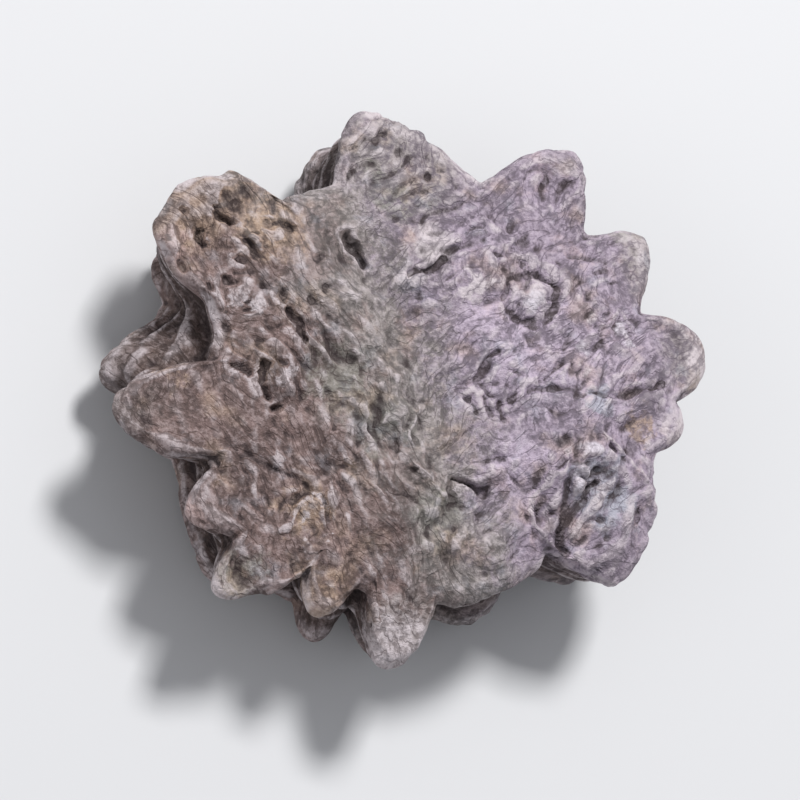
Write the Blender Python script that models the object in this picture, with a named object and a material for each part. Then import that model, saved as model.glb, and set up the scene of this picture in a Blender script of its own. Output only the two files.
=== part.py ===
"""Gac seed: one dried, flat, rounded seed with blunt teeth round both edges of its rim.

The seed lies on its underside. X runs from its narrow notched side to its long toothed side,
Z is up, and the origin is the middle of the small flat spot that the seed rests on.
"""

import math

import bmesh
import bpy
from mathutils import Vector, noise

MM = 0.001

# Thickness, from the resting spot up
RIM_HALF_HEIGHT = 2.5 * MM      # each toothed edge stands this far above or below the seam
UPPER_DOME = 1.15 * MM          # rise of the upper face from its edge to its middle
LOWER_DOME = 1.45 * MM          # the same for the underside
UPPER_DOME_POWER = 2.4          # how flat the middle of the dome is: higher is flatter
LOWER_DOME_POWER = 1.7
RESTING_CUT = 0.16 * MM         # what the flat spot takes off the underside's dome
SEAM_HEIGHT = RIM_HALF_HEIGHT + LOWER_DOME - RESTING_CUT

# Body outline at the bottoms of the notches: angle in degrees, radius in millimetres
BODY_OUTLINE = (
    (4, 13.0), (24, 12.4), (44, 12.1), (60, 11.6), (74, 10.7), (92, 10.5), (113, 10.4), (121, 10.6),
    (131, 11.1), (146, 12.0), (159, 11.5), (167, 10.5), (174, 10.4), (190, 10.9), (203, 11.1),
    (220, 11.9), (238, 10.8), (253, 10.1), (276, 10.1), (294, 10.1), (308, 10.0), (316, 9.7),
    (325, 11.2), (337, 12.6), (350, 12.2),
)

# Teeth: angle of the tip, radius of the tip in millimetres, then the width in degrees and the
# bluntness of the flank before the tip, and the same after it: 2 is round, and more is squarer
UPPER_TEETH = (
    (11.0, 15.2, 9, 2.4, 12, 3.2),
    (36.0, 14.6, 13, 1.65, 8, 1.6),
    (56.5, 14.8, 12, 1.7, 17, 1.6),
    (101.0, 13.6, 29, 1.55, 13, 2.0),
    (134.5, 13.6, 5, 2.6, 12, 2.2),
    (147.0, 14.8, 17, 2.8, 15, 2.8),
    (187.5, 15.1, 11, 2.4, 14, 2.2),
    (195.5, 13.4, 8, 2.2, 6, 2.2),
    (211.0, 13.2, 8, 2.1, 9, 2.0),
    (226.0, 14.3, 6, 2.4, 10, 2.0),
    (233.0, 12.6, 8, 2.4, 5, 2.4),
    (244.5, 12.1, 7, 2.3, 8, 2.2),
    (264.0, 13.3, 9, 2.2, 12, 2.0),
    (325.0, 13.4, 13, 2.3, 20, 2.6),
    (359.0, 13.7, 8, 2.0, 6, 2.0),
)
LOWER_TEETH = (
    (7.0, 14.4, 10, 2.1, 10, 2.1),
    (30.0, 13.9, 10, 2.1, 10, 2.1),
    (51.0, 14.0, 10, 1.9, 10, 1.9),
    (73.0, 12.2, 10, 1.9, 10, 1.9),
    (104.0, 12.8, 14, 2.2, 12, 2.2),
    (131.0, 12.4, 8, 1.9, 8, 1.9),
    (150.0, 13.2, 11, 2.2, 12, 2.2),
    (162.0, 11.9, 9, 2.3, 11, 2.3),
    (178.0, 14.4, 21, 1.6, 9, 2.0),
    (190.0, 12.6, 7, 2.3, 7, 2.3),
    (226.0, 12.4, 10, 1.9, 10, 1.9),
    (251.5, 11.9, 7, 2.3, 7, 2.3),
    (268.0, 12.0, 9, 2.0, 10, 2.0),
    (296.0, 10.8, 12, 2.1, 12, 2.1),
    (324.0, 12.2, 12, 2.0, 12, 2.0),
    (346.0, 13.2, 10, 1.8, 10, 1.8),
)
FLANK_HOLLOWNESS = 1.5          # above 1 the flanks of the teeth curve inwards at their feet
TOOTH_BLEND = 8                 # how sharply neighbouring teeth meet

# Rim
TOOTH_DROOP = 0.16              # how far a tooth's face falls for each unit it stands out
TOOTH_ROOT, TOOTH_FULL = -0.60, 0.55   # heights on the belt where an upper tooth starts and is full
SEAM_GROOVE = 0.70 * MM         # depth of the hollow belt between the two toothed edges
SEAM_GROOVE_POWER = 1.3         # above 1 the hollow is narrower and its edges are rounder
SEAM_RIDGE, SEAM_RIDGE_WIDTH = 0.35 * MM, 0.34     # raised line along the middle of the belt
LIP_RISE, LIP_HALF_WIDTH = 0.08 * MM, 0.65 * MM    # faint raised line along each edge
EDGE_ROUND, EDGE_ROUND_WIDTH = 0.30 * MM, 0.70 * MM    # rounding of the edge itself
EDGE_BULGE, EDGE_BULGE_SHARE = 0.14 * MM, 0.34     # its roundness seen from the side
TOOTH_RING_POWER = 3            # rings of the face are round inside and toothed outside
CALM_WIDTH, CALM_SHARE = 1.2 * MM, 0.3             # the relief is lower this near to the edge

# Relief of both faces
SWELL_HEIGHT, SWELL_SIZE = 0.42 * MM, 4.6 * MM     # broad soft unevenness
NET_HEIGHT, NET_CELL = 0.28 * MM, 3.2 * MM         # raised irregular net
NET_LINE = 0.48                                    # width of a net line, as a share of a cell
NET_WARP, NET_WARP_SIZE = 1.1 * MM, 4.8 * MM       # how far the net's lines wander
NET_PATCH_SIZE = 7.5 * MM                          # size of the patches where the net is faint
NET_PATCH_MEAN, NET_PATCH_SPREAD = 0.55, 0.75
RELIEF_SEEDS = {1: Vector((3.1, 7.7, 1.9)), -1: Vector((41.3, 12.9, 8.3))}
NOISE_SEED = 7                                     # makes the noise the same in each run
RESTING_RINGS = (0.28, 0.75)                       # the underside's relief starts between these

# Hollows across the upper face: from, to, depth, half width, in millimetres
HOLLOWS = (
    ((-3.0, 5.8), (2.4, -5.2), 0.36, 2.2),
    ((-9.0, 8.6), (-11.0, 5.4), 0.28, 1.6),
)

# Raised fold round the base of the broad lower right tooth
FOLD_CENTRE, FOLD_RADIUS = Vector((8.5, -4.6)) * MM, 2.6 * MM
FOLD_RISE, FOLD_LINE, FOLD_DISH = 0.26 * MM, 1.00 * MM, 0.26 * MM
FOLD_WARP, FOLD_WARP_SIZE = 1.2 * MM, 2.8 * MM     # how uneven the ring is

# Mesh: cells along one side of each face, and up the belt between the edges
FACE_CELLS = 42
BELT_CELLS = 12

SEED_COLOUR = (0.235, 0.195, 0.205, 1.0)
SEED_ROUGHNESS = 0.85


def ease(x):
    """Smooth step from 0 at x = 0 to 1 at x = 1."""
    x = min(max(x, 0.0), 1.0)
    return x * x * (3.0 - 2.0 * x)


def body_radius(angle):
    """Radius of the body between its teeth: a smooth closed curve through BODY_OUTLINE."""
    degrees = math.degrees(angle) % 360.0
    count = len(BODY_OUTLINE)
    after = next((i for i, (at, _) in enumerate(BODY_OUTLINE) if at > degrees), 0)
    near = [BODY_OUTLINE[(after + step) % count] for step in (-2, -1, 0, 1)]
    turns = [(at - near[1][0] + 180.0) % 360.0 - 180.0 for at, _ in near]
    radii = [radius * MM for _, radius in near]
    slope_in = (radii[2] - radii[0]) / (turns[2] - turns[0])
    slope_out = (radii[3] - radii[1]) / (turns[3] - turns[1])
    span = turns[2]
    t = (degrees - near[1][0]) % 360.0 / span
    return (
        radii[1] * (1.0 + t * t * (2.0 * t - 3.0))
        + radii[2] * t * t * (3.0 - 2.0 * t)
        + span * (slope_in * t * (1.0 - t) ** 2 - slope_out * t * t * (1.0 - t))
    )


def tooth_reach(teeth, angle, body):
    """How far the teeth of one edge stand out of the body at this angle, blended where they meet."""
    degrees = math.degrees(angle)
    total = 0.0
    for tip, tip_radius, before, blunt_before, after, blunt_after in teeth:
        turn = (degrees - tip + 180.0) % 360.0 - 180.0
        away = abs(turn) / (after if turn > 0.0 else before)
        if away < 1.0:
            bluntness = blunt_after if turn > 0.0 else blunt_before
            share = (1.0 - away**bluntness) ** FLANK_HOLLOWNESS
            total += ((tip_radius * MM - body) * share) ** TOOTH_BLEND
    return total ** (1.0 / TOOTH_BLEND)


def net_lines(place, side):
    """The raised net: 1 on its lines and 0 inside its cells, faint in some patches."""
    start = RELIEF_SEEDS[side]
    wander = noise.noise_vector(place / NET_WARP_SIZE + start) * NET_WARP
    distances, _ = noise.voronoi((place + wander) / NET_CELL + start)
    line = 1.0 - ease((distances[1] - distances[0]) / NET_LINE)
    patch = NET_PATCH_MEAN + NET_PATCH_SPREAD * noise.noise(place / NET_PATCH_SIZE - start)
    return line * min(max(patch, 0.0), 1.0)


def hollows(place):
    """Depth of the hollows at this place on the upper face."""
    flat = Vector((place.x, place.y))
    depth = 0.0
    for start, end, deepest, half_width in HOLLOWS:
        start = Vector(start) * MM
        along = Vector(end) * MM - start
        share = min(max((flat - start).dot(along) / along.length_squared, 0.0), 1.0)
        away = (flat - start - along * share).length
        depth += deepest * MM * (1.0 - ease(away / (half_width * MM)))
    return depth


def fold(place):
    """The raised ring and the dish inside it, at the base of the broad tooth."""
    wander = noise.noise_vector(place / FOLD_WARP_SIZE).to_2d() * FOLD_WARP
    away = (place.to_2d() + wander - FOLD_CENTRE).length
    ring = FOLD_RISE * (1.0 - ease(abs(away - FOLD_RADIUS) / FOLD_LINE))
    return ring - FOLD_DISH * (1.0 - ease(away / FOLD_RADIUS))


def relief(place, ring, inset, side):
    """Height of the face's relief above its smooth form, outwards."""
    swell = noise.noise(place / SWELL_SIZE + RELIEF_SEEDS[side])
    height = SWELL_HEIGHT * swell + NET_HEIGHT * net_lines(place, side)
    if side > 0:
        height += fold(place) - hollows(place)
    else:
        height *= ease((ring - RESTING_RINGS[0]) / (RESTING_RINGS[1] - RESTING_RINGS[0]))
    return height * (1.0 - CALM_SHARE * (1.0 - ease(inset / CALM_WIDTH)))


def face_point(angle, ring, side):
    """A point on the upper (side 1) or lower (side -1) face, from ring 0 in its middle to 1 at its edge."""
    body = body_radius(angle)
    reach = tooth_reach(UPPER_TEETH if side > 0 else LOWER_TEETH, angle, body)
    radius = ring * body + reach * ring**TOOTH_RING_POWER
    inset = body + reach - radius
    place = Vector((radius * math.cos(angle), radius * math.sin(angle), 0.0))
    inside = min(radius / body, 1.0)
    if side > 0:
        dome = UPPER_DOME * (1.0 - inside**UPPER_DOME_POWER)
    else:
        dome = LOWER_DOME * (1.0 - inside**LOWER_DOME_POWER)
    droop = TOOTH_DROOP * max(radius - body, 0.0)
    lip = LIP_RISE * (1.0 - ease(abs(inset / LIP_HALF_WIDTH - 1.0)))
    rounding = EDGE_ROUND * (1.0 - min(inset / EDGE_ROUND_WIDTH, 1.0)) ** 2
    height = RIM_HALF_HEIGHT + dome - droop + lip - rounding + relief(place, ring, inset, side)
    place.z = max(SEAM_HEIGHT + side * height, 0.0)
    return place


def belt_point(angle, level):
    """A point on the belt between the edges, from level -1 at the lower edge to 1 at the upper."""
    body = body_radius(angle)
    rise = TOOTH_FULL - TOOTH_ROOT
    upper = ease((level - TOOTH_ROOT) / rise) * tooth_reach(UPPER_TEETH, angle, body)
    lower = ease((-level - TOOTH_ROOT) / rise) * tooth_reach(LOWER_TEETH, angle, body)
    groove = SEAM_GROOVE * (1.0 - level**2) ** SEAM_GROOVE_POWER
    ridge = SEAM_RIDGE * (1.0 - ease(abs(level) / SEAM_RIDGE_WIDTH))
    from_edge = min((1.0 - abs(level)) / EDGE_BULGE_SHARE, 1.0)
    bulge = EDGE_BULGE * 4.0 * from_edge * (1.0 - from_edge)
    radius = body + upper + lower - groove + ridge + bulge
    top = face_point(angle, 1.0, 1).z
    bottom = face_point(angle, 1.0, -1).z
    z = bottom + (top - bottom) * (1.0 + level) / 2.0
    return Vector((radius * math.cos(angle), radius * math.sin(angle), z))


def angle_on_square(x, y):
    """Turns a place on a square into an angle, evenly round the square's outline."""
    if abs(x) >= abs(y):
        turn = math.pi / 4.0 * y / x if x else 0.0
        return turn if x > 0.0 else turn + math.pi
    turn = math.pi / 2.0 - math.pi / 4.0 * x / y
    return turn if y > 0.0 else turn + math.pi


def block_of_cells():
    """A cube cut into cells: both faces in a grid, and the sides in rows for the belt."""
    block = bmesh.new()
    bmesh.ops.create_cube(block, size=2.0)
    upright = [e for e in block.edges if abs(e.verts[0].co.z - e.verts[1].co.z) > 1.0]
    bmesh.ops.subdivide_edges(block, edges=upright, cuts=BELT_CELLS - 1, use_grid_fill=True)
    level = [e for e in block.edges if abs(e.verts[0].co.z - e.verts[1].co.z) < 0.01]
    bmesh.ops.subdivide_edges(block, edges=level, cuts=FACE_CELLS - 1, use_grid_fill=True)
    return block


def wrap_round_seed(block):
    """Moves each vertex of the block to its place on the seed."""
    for vertex in block.verts:
        x, y, z = vertex.co
        angle = angle_on_square(x, y)
        if abs(z) > 1.0 - 1e-4:
            vertex.co = face_point(angle, max(abs(x), abs(y)), 1 if z > 0.0 else -1)
        else:
            vertex.co = belt_point(angle, z)


def seed_material():
    """Dull grey-brown seed coat with a mauve bloom."""
    material = bpy.data.materials.new("seed_coat")
    material.use_nodes = True
    shader = material.node_tree.nodes["Principled BSDF"]
    shader.inputs["Base Color"].default_value = SEED_COLOUR
    shader.inputs["Roughness"].default_value = SEED_ROUGHNESS
    shader.inputs["Metallic"].default_value = 0.0
    return material


def main():
    noise.seed_set(NOISE_SEED)
    for old in list(bpy.data.objects):
        bpy.data.objects.remove(old)
    collection = bpy.data.collections.new("gac_seed")
    bpy.context.scene.collection.children.link(collection)

    block = block_of_cells()
    wrap_round_seed(block)
    bmesh.ops.triangulate(block, faces=block.faces, quad_method="SHORT_EDGE")
    bmesh.ops.recalc_face_normals(block, faces=block.faces)
    mesh = bpy.data.meshes.new("gac_seed")
    block.to_mesh(mesh)
    block.free()
    mesh.shade_smooth()
    mesh.materials.append(seed_material())
    collection.objects.link(bpy.data.objects.new("gac_seed", mesh))


main()
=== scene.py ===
"""Looks of a dried gac seed: a finer seed in the place of the solid one, its coat, and the stage.

Lengths marked mm are in millimetres. The seed lies on its underside at the origin with Z up.
"""

import math

import bmesh
import bpy
import numpy as np
from bpy.props import FloatProperty, FloatVectorProperty, PointerProperty
from mathutils import Matrix, Vector, noise


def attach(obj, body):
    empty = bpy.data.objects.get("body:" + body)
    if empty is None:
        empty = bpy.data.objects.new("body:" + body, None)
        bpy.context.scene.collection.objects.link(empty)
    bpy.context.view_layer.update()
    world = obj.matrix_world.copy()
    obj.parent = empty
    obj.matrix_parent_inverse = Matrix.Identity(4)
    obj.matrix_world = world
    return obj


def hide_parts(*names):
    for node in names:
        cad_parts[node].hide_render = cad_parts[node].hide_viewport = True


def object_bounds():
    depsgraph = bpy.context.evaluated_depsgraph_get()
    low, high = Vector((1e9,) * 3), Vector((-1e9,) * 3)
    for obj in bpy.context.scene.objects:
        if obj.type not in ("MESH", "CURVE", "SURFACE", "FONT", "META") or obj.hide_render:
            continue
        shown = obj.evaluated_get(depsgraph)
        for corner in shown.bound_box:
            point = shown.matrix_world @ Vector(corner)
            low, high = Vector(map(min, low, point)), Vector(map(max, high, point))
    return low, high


bl_info = {
    "name": "Gac Seed",
    "version": (1, 0, 0),
    "blender": (4, 5, 0),
    "location": "3D View > Sidebar > Gac Seed",
    "description": "Builds a dried gac seed with its toothed rim, and a plain stage for it",
    "category": "Object",
}

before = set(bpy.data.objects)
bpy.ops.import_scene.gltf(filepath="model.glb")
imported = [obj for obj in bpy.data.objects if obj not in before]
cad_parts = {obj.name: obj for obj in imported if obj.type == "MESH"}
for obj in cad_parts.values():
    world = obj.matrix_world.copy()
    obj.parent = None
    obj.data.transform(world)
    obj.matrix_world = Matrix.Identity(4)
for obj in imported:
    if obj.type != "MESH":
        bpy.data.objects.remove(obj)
CAD_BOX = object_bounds()

MM = 0.001

# Form of the seed, the same as in the part: thickness from the resting spot up
RIM_HALF_HEIGHT = 2.5 * MM
UPPER_DOME = 1.15 * MM
LOWER_DOME = 1.45 * MM
UPPER_DOME_POWER = 2.4
LOWER_DOME_POWER = 1.7
RESTING_CUT = 0.16 * MM
SEAM_HEIGHT = RIM_HALF_HEIGHT + LOWER_DOME - RESTING_CUT

# Body outline at the bottoms of the notches: angle in degrees, radius in mm
BODY_OUTLINE = (
    (4, 13.0), (24, 12.4), (44, 12.1), (60, 11.6), (74, 10.7), (92, 10.5), (113, 10.4), (121, 10.6),
    (131, 11.1), (146, 12.0), (159, 11.5), (167, 10.5), (174, 10.4), (190, 10.9), (203, 11.1),
    (220, 11.9), (238, 10.8), (253, 10.1), (276, 10.1), (294, 10.1), (308, 10.0), (316, 9.7),
    (325, 11.2), (337, 12.6), (350, 12.2),
)

# Teeth: angle of the tip, radius of the tip in mm, then the width in degrees and the bluntness
# of the flank before the tip, and the same after it: 2 is round, and more is squarer
UPPER_TEETH = (
    (11.0, 15.2, 9, 2.4, 12, 3.2),
    (36.0, 14.6, 13, 1.65, 8, 1.6),
    (56.5, 14.8, 12, 1.7, 17, 1.6),
    (101.0, 13.6, 29, 1.55, 13, 2.0),
    (134.5, 13.6, 5, 2.6, 12, 2.2),
    (147.0, 14.8, 17, 2.8, 15, 2.8),
    (187.5, 15.1, 11, 2.4, 14, 2.2),
    (195.5, 13.4, 8, 2.2, 6, 2.2),
    (211.0, 13.2, 8, 2.1, 9, 2.0),
    (226.0, 14.3, 6, 2.4, 10, 2.0),
    (233.0, 12.6, 8, 2.4, 5, 2.4),
    (244.5, 12.1, 7, 2.3, 8, 2.2),
    (264.0, 13.3, 9, 2.2, 12, 2.0),
    (325.0, 13.4, 13, 2.3, 20, 2.6),
    (359.0, 13.7, 8, 2.0, 6, 2.0),
)
LOWER_TEETH = (
    (7.0, 14.4, 10, 2.1, 10, 2.1),
    (30.0, 13.9, 10, 2.1, 10, 2.1),
    (51.0, 14.0, 10, 1.9, 10, 1.9),
    (73.0, 12.2, 10, 1.9, 10, 1.9),
    (104.0, 12.8, 14, 2.2, 12, 2.2),
    (131.0, 12.4, 8, 1.9, 8, 1.9),
    (150.0, 13.2, 11, 2.2, 12, 2.2),
    (162.0, 11.9, 9, 2.3, 11, 2.3),
    (178.0, 14.4, 21, 1.6, 9, 2.0),
    (190.0, 12.6, 7, 2.3, 7, 2.3),
    (226.0, 12.4, 10, 1.9, 10, 1.9),
    (251.5, 11.9, 7, 2.3, 7, 2.3),
    (268.0, 12.0, 9, 2.0, 10, 2.0),
    (296.0, 10.8, 12, 2.1, 12, 2.1),
    (324.0, 12.2, 12, 2.0, 12, 2.0),
    (346.0, 13.2, 10, 1.8, 10, 1.8),
)
FLANK_HOLLOWNESS = 1.5
TOOTH_BLEND = 8

# Rim, the same as in the part
TOOTH_DROOP = 0.16
TOOTH_ROOT, TOOTH_FULL = -0.60, 0.55
SEAM_GROOVE = 0.70 * MM
SEAM_GROOVE_POWER = 1.3
SEAM_RIDGE, SEAM_RIDGE_WIDTH = 0.35 * MM, 0.34
LIP_RISE, LIP_HALF_WIDTH = 0.08 * MM, 0.65 * MM
EDGE_ROUND, EDGE_ROUND_WIDTH = 0.30 * MM, 0.70 * MM
EDGE_BULGE, EDGE_BULGE_SHARE = 0.14 * MM, 0.34
TOOTH_RING_POWER = 3
CALM_WIDTH, CALM_SHARE = 1.2 * MM, 0.3

# Relief of both faces, the same as in the part
SWELL_HEIGHT, SWELL_SIZE = 0.42 * MM, 4.6 * MM
NET_HEIGHT, NET_CELL = 0.28 * MM, 3.2 * MM
NET_LINE = 0.48
NET_WARP, NET_WARP_SIZE = 1.1 * MM, 4.8 * MM
NET_PATCH_SIZE = 7.5 * MM
NET_PATCH_MEAN, NET_PATCH_SPREAD = 0.55, 0.75
# Where the noises of the upper face (1) and the lower face (-1) start
RELIEF_SEEDS = {1: Vector((3.1, 7.7, 1.9)), -1: Vector((41.3, 12.9, 8.3))}
# With a fixed seed each run gives the same noises
NOISE_SEED = 7
# The lower face's relief grows from none at the first ring to all of it at the second
RESTING_RINGS = (0.28, 0.75)
# Hollows of the upper face as from, to, depth and half width in mm
HOLLOWS = (
    ((-3.0, 5.8), (2.4, -5.2), 0.36, 2.2),
    ((-9.0, 8.6), (-11.0, 5.4), 0.28, 1.6),
)
# Raised ring with a dish inside it, at the base of the broad tooth
FOLD_CENTRE, FOLD_RADIUS = Vector((8.5, -4.6)) * MM, 2.6 * MM
FOLD_RISE, FOLD_LINE, FOLD_DISH = 0.26 * MM, 1.00 * MM, 0.26 * MM
FOLD_WARP, FOLD_WARP_SIZE = 1.2 * MM, 2.8 * MM

# Finer relief, added here: slits and raised folds on the upper face as from, to, height and
# half width in mm. A height below zero is cut in.
MARKS = (
    ((1.1, 6.1), (-0.2, 5.4), -0.46, 0.30),
    ((-0.2, 5.4), (-1.0, 5.2), -0.30, 0.26),
    ((-0.2, 6.9), (1.5, 7.2), 0.24, 0.50),
    ((-9.3, 0.4), (-8.8, -0.2), -0.42, 0.26),
    ((-8.0, 0.5), (-8.2, -0.5), -0.50, 0.30),
    ((-8.2, -0.5), (-7.9, -1.1), -0.46, 0.28),
    ((-7.2, 0.6), (-7.0, -0.8), 0.24, 0.45),
    ((-7.0, 3.1), (-6.6, 2.5), -0.42, 0.28),
    ((-6.6, 2.5), (-6.2, 1.6), -0.24, 0.26),
    ((-5.0, 1.8), (-4.0, 0.9), -0.26, 0.45),
    ((-3.9, 6.9), (-3.1, 5.7), -0.44, 0.46),
    ((-4.6, 6.6), (-4.1, 5.9), -0.20, 0.60),
    ((-11.0, 6.7), (-10.6, 6.0), -0.44, 0.28),
    ((-10.1, 7.8), (-9.9, 7.3), -0.30, 0.26),
    ((-9.9, 7.3), (-9.3, 7.0), -0.36, 0.24),
    ((-7.8, 7.2), (-6.6, 7.1), -0.22, 0.26),
    ((-8.8, 6.3), (-8.1, 5.7), -0.24, 0.30),
    ((-6.9, -7.2), (-5.9, -5.8), 0.24, 0.35),
    ((-5.3, -6.4), (-4.9, -7.4), 0.16, 0.35),
    ((-2.8, -1.2), (-2.9, -2.4), -0.24, 0.50),
    ((-2.9, -2.4), (-1.9, -3.2), -0.24, 0.50),
    ((-0.6, -1.2), (-1.0, -2.8), 0.26, 0.36),
    ((-0.7, -3.8), (0.1, -4.2), 0.26, 0.32),
    ((1.4, -4.2), (3.0, -4.6), -0.40, 0.32),
    ((1.4, -4.2), (1.3, -5.6), -0.34, 0.40),
    ((1.3, -5.6), (0.2, -6.6), -0.26, 0.75),
    ((2.4, -5.2), (1.9, -6.8), 0.20, 0.55),
    ((3.5, 2.0), (2.4, 0.6), -0.24, 0.24),
    ((2.4, 0.6), (3.2, -0.3), -0.20, 0.24),
    ((4.0, 1.2), (4.6, 0.9), -0.18, 0.22),
    ((4.6, 0.9), (4.2, -0.2), -0.18, 0.22),
    ((6.8, 1.8), (5.8, 0.8), -0.28, 0.30),
    ((2.0, -0.3), (2.3, -1.1), -0.24, 0.24),
    ((2.8, -0.3), (3.2, -1.1), -0.24, 0.24),
    ((3.6, -0.6), (3.6, -1.3), -0.24, 0.24),
    ((4.6, 0.2), (8.4, 2.2), 0.12, 0.55),
    ((7.6, 0.3), (9.8, 0.5), -0.20, 0.22),
    ((9.8, 0.5), (12.3, 1.3), -0.24, 0.22),
    ((3.9, 4.6), (4.2, 5.5), -0.26, 0.30),
    ((4.2, 5.5), (5.4, 5.95), -0.30, 0.30),
    ((5.4, 5.95), (6.7, 5.2), -0.30, 0.30),
    ((6.7, 5.2), (6.6, 4.2), -0.24, 0.28),
    ((6.6, 4.2), (5.7, 3.4), -0.16, 0.30),
    ((5.7, 3.4), (4.4, 3.5), -0.16, 0.30),
    ((4.4, 3.5), (3.9, 4.6), -0.18, 0.28),
    ((3.7, 6.6), (5.6, 6.7), 0.14, 0.40),
    ((5.6, 6.7), (7.3, 6.0), 0.14, 0.40),
    ((8.9, 3.7), (9.9, 4.6), 0.16, 0.34),
    ((9.9, 4.6), (10.8, 3.5), 0.16, 0.34),
    ((10.0, 3.7), (10.3, 3.0), 0.22, 0.30),
    ((9.0, -1.5), (10.3, -2.4), 0.18, 0.34),
    ((10.3, -2.4), (11.5, -3.6), 0.18, 0.34),
    ((7.3, -1.7), (7.0, -3.2), 0.30, 0.36),
    ((7.0, -3.2), (5.6, -4.4), 0.30, 0.36),
    ((5.6, -4.4), (5.3, -5.5), 0.26, 0.34),
    ((5.3, -5.5), (6.1, -6.6), 0.26, 0.34),
    ((7.2, -3.9), (7.1, -5.0), -0.14, 0.30),
    ((7.1, -5.0), (6.9, -6.3), -0.26, 0.30),
    ((6.9, -6.3), (7.4, -7.2), -0.22, 0.32),
    ((8.6, -3.7), (7.9, -4.7), -0.32, 0.28),
    ((9.4, -3.8), (8.4, -5.0), 0.30, 0.50),
    ((8.4, -5.0), (7.6, -6.1), 0.30, 0.50),
)
# Round pits and knobs on the upper face: place, height and radius in mm
SPOTS = (
    ((-11.7, 7.6), -0.36, 0.34), ((-11.7, 4.9), -0.42, 0.44), ((-12.4, 5.9), 0.26, 0.70),
    ((-9.3, 5.3), -0.40, 0.30), ((-9.4, 4.3), -0.42, 0.34), ((-8.1, 4.2), -0.38, 0.30),
    ((-7.3, 3.7), -0.40, 0.32), ((-10.4, 4.0), -0.34, 0.28), ((-7.9, 5.8), -0.24, 0.34),
    ((-9.7, 2.8), -0.32, 0.26), ((-8.7, 2.9), -0.32, 0.28), ((-5.4, 5.6), -0.26, 0.36),
    ((-5.2, 4.3), -0.24, 0.34), ((-6.0, 3.6), -0.30, 0.40), ((-7.3, -1.6), -0.44, 0.36),
    ((-9.0, 0.1), -0.30, 0.30), ((-9.8, 2.0), -0.28, 0.28), ((-0.9, 11.3), -0.30, 0.36),
    ((-1.6, 12.3), -0.26, 0.30), ((0.2, 10.4), -0.22, 0.34), ((5.35, 4.65), 0.50, 1.15),
    ((-1.9, -1.9), 0.12, 1.15), ((8.2, -2.2), 0.46, 0.66), ((7.7, -3.3), 0.42, 0.50),
    ((7.7, -4.1), 0.34, 0.40), ((9.3, -2.1), -0.30, 0.34), ((8.7, -3.1), -0.26, 0.26),
    ((9.6, -5.4), 0.30, 1.80), ((6.4, -5.4), -0.34, 0.36), ((9.0, -5.6), -0.24, 0.34),
    ((11.0, -5.0), -0.26, 0.40), ((9.4, -6.2), -0.20, 0.30), ((-12.6, 8.2), 0.30, 1.50),
    ((-10.6, 9.4), 0.28, 1.60), ((-8.9, -9.4), -0.40, 1.30), ((-7.2, 6.7), 0.20, 0.50),
    ((7.9, 2.6), 0.18, 0.45), ((8.4, 4.1), 0.16, 0.42),
)
# How crooked the marks are
MARK_WARP, MARK_WARP_SIZE = 0.32 * MM, 0.8 * MM

# Small pits strewn over both faces, with more and wider ones in the cluster on the upper face
SCATTER_SPACING, SCATTER_DEPTH = 0.95 * MM, 0.13 * MM
SCATTER_MEAN, SCATTER_CROWD = -0.20, 0.67
SCATTER_RADIUS, SCATTER_RADIUS_SPREAD = 0.20, 0.20
PIT_CLUSTER, PIT_CLUSTER_RADIUS = Vector((-8.2, 4.4)) * MM, 3.8 * MM
# The marks and pits fade out within this distance of the edge
MARK_FADE = 0.6 * MM
# Ridges along the belt: how many, how much they waver, and where they fade towards the edges
STRATA_COUNT, STRATA_WAVER, STRATA_FADE = 5.5, 1.1, 0.4

# The wrinkles run one way on each side of a slanting line through the seed's middle: the
# direction across that line, and how far it is shifted in mm
MIDDLE_SLOPE, MIDDLE_SHIFT = (0.92, 0.39), 0.9
LEFT_FLOW, RIGHT_FLOW = math.radians(-52.0), math.radians(40.0)
# Sizes of the noises that shape the wrinkles, the furrows and the crumpling
WRINKLE_SIZE, FURROW_SIZE = 2.3 * MM, 1.15 * MM
CRUMPLE_SIZES = (0.52 * MM, 0.30 * MM)
FURROW_WIDTH = 0.24
# The furrows' noise is squeezed by this along their way, so that they run long
FLOW_SQUEEZE = 0.42
# Bends in the run of the wrinkles: size and reach
WIDE_BEND_SIZE, WIDE_BEND = 3.4 * MM, 0.9 * MM
SMALL_BEND_SIZE, SMALL_BEND = 0.9 * MM, 0.12 * MM
# Patches where the furrows and the crumpling are weaker or stronger
WRINKLE_PATCH_SIZE = 3.2 * MM
WRINKLE_PATCH_MEAN, WRINKLE_PATCH_LEAST, WRINKLE_PATCH_MOST = 0.75, 0.35, 1.1

# Teeth with a smoother skin: place and radius in mm. The first three have a weaker grain too.
SMOOTH_PLACES = (
    ((11.6, 7.8), 2.6), ((14.2, 3.2), 2.8), ((13.2, -0.4), 2.0), ((9.8, -5.2), 2.4), ((-10.9, 9.2), 2.2),
)
WEAK_GRAIN_PLACES = SMOOTH_PLACES[:3]

# Cells along each side of the faces, and from the belt's lower edge to its upper one
SEED_CELLS = 172
SEED_BELT_CELLS = 38
# Soft rim of the colours: its width on a face, and on the belt as a share of half its height
RIM_FADE, BELT_RIM_FADE = 1.5 * MM, 0.3
# The belt's dark brown, partly its own colour and partly painted shade, grows to its full strength over
# this share of half its height
BELT_FADE = 0.5

# Rounds of smoothing and unit of height for the two attributes that the colours read, for the painted
# highlights on raised places and the painted shade in sunken ones
NEAR_ROUNDS, NEAR_UNIT = 6, 0.035 * MM
WIDE_ROUNDS, WIDE_UNIT = 60, 0.22 * MM

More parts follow.
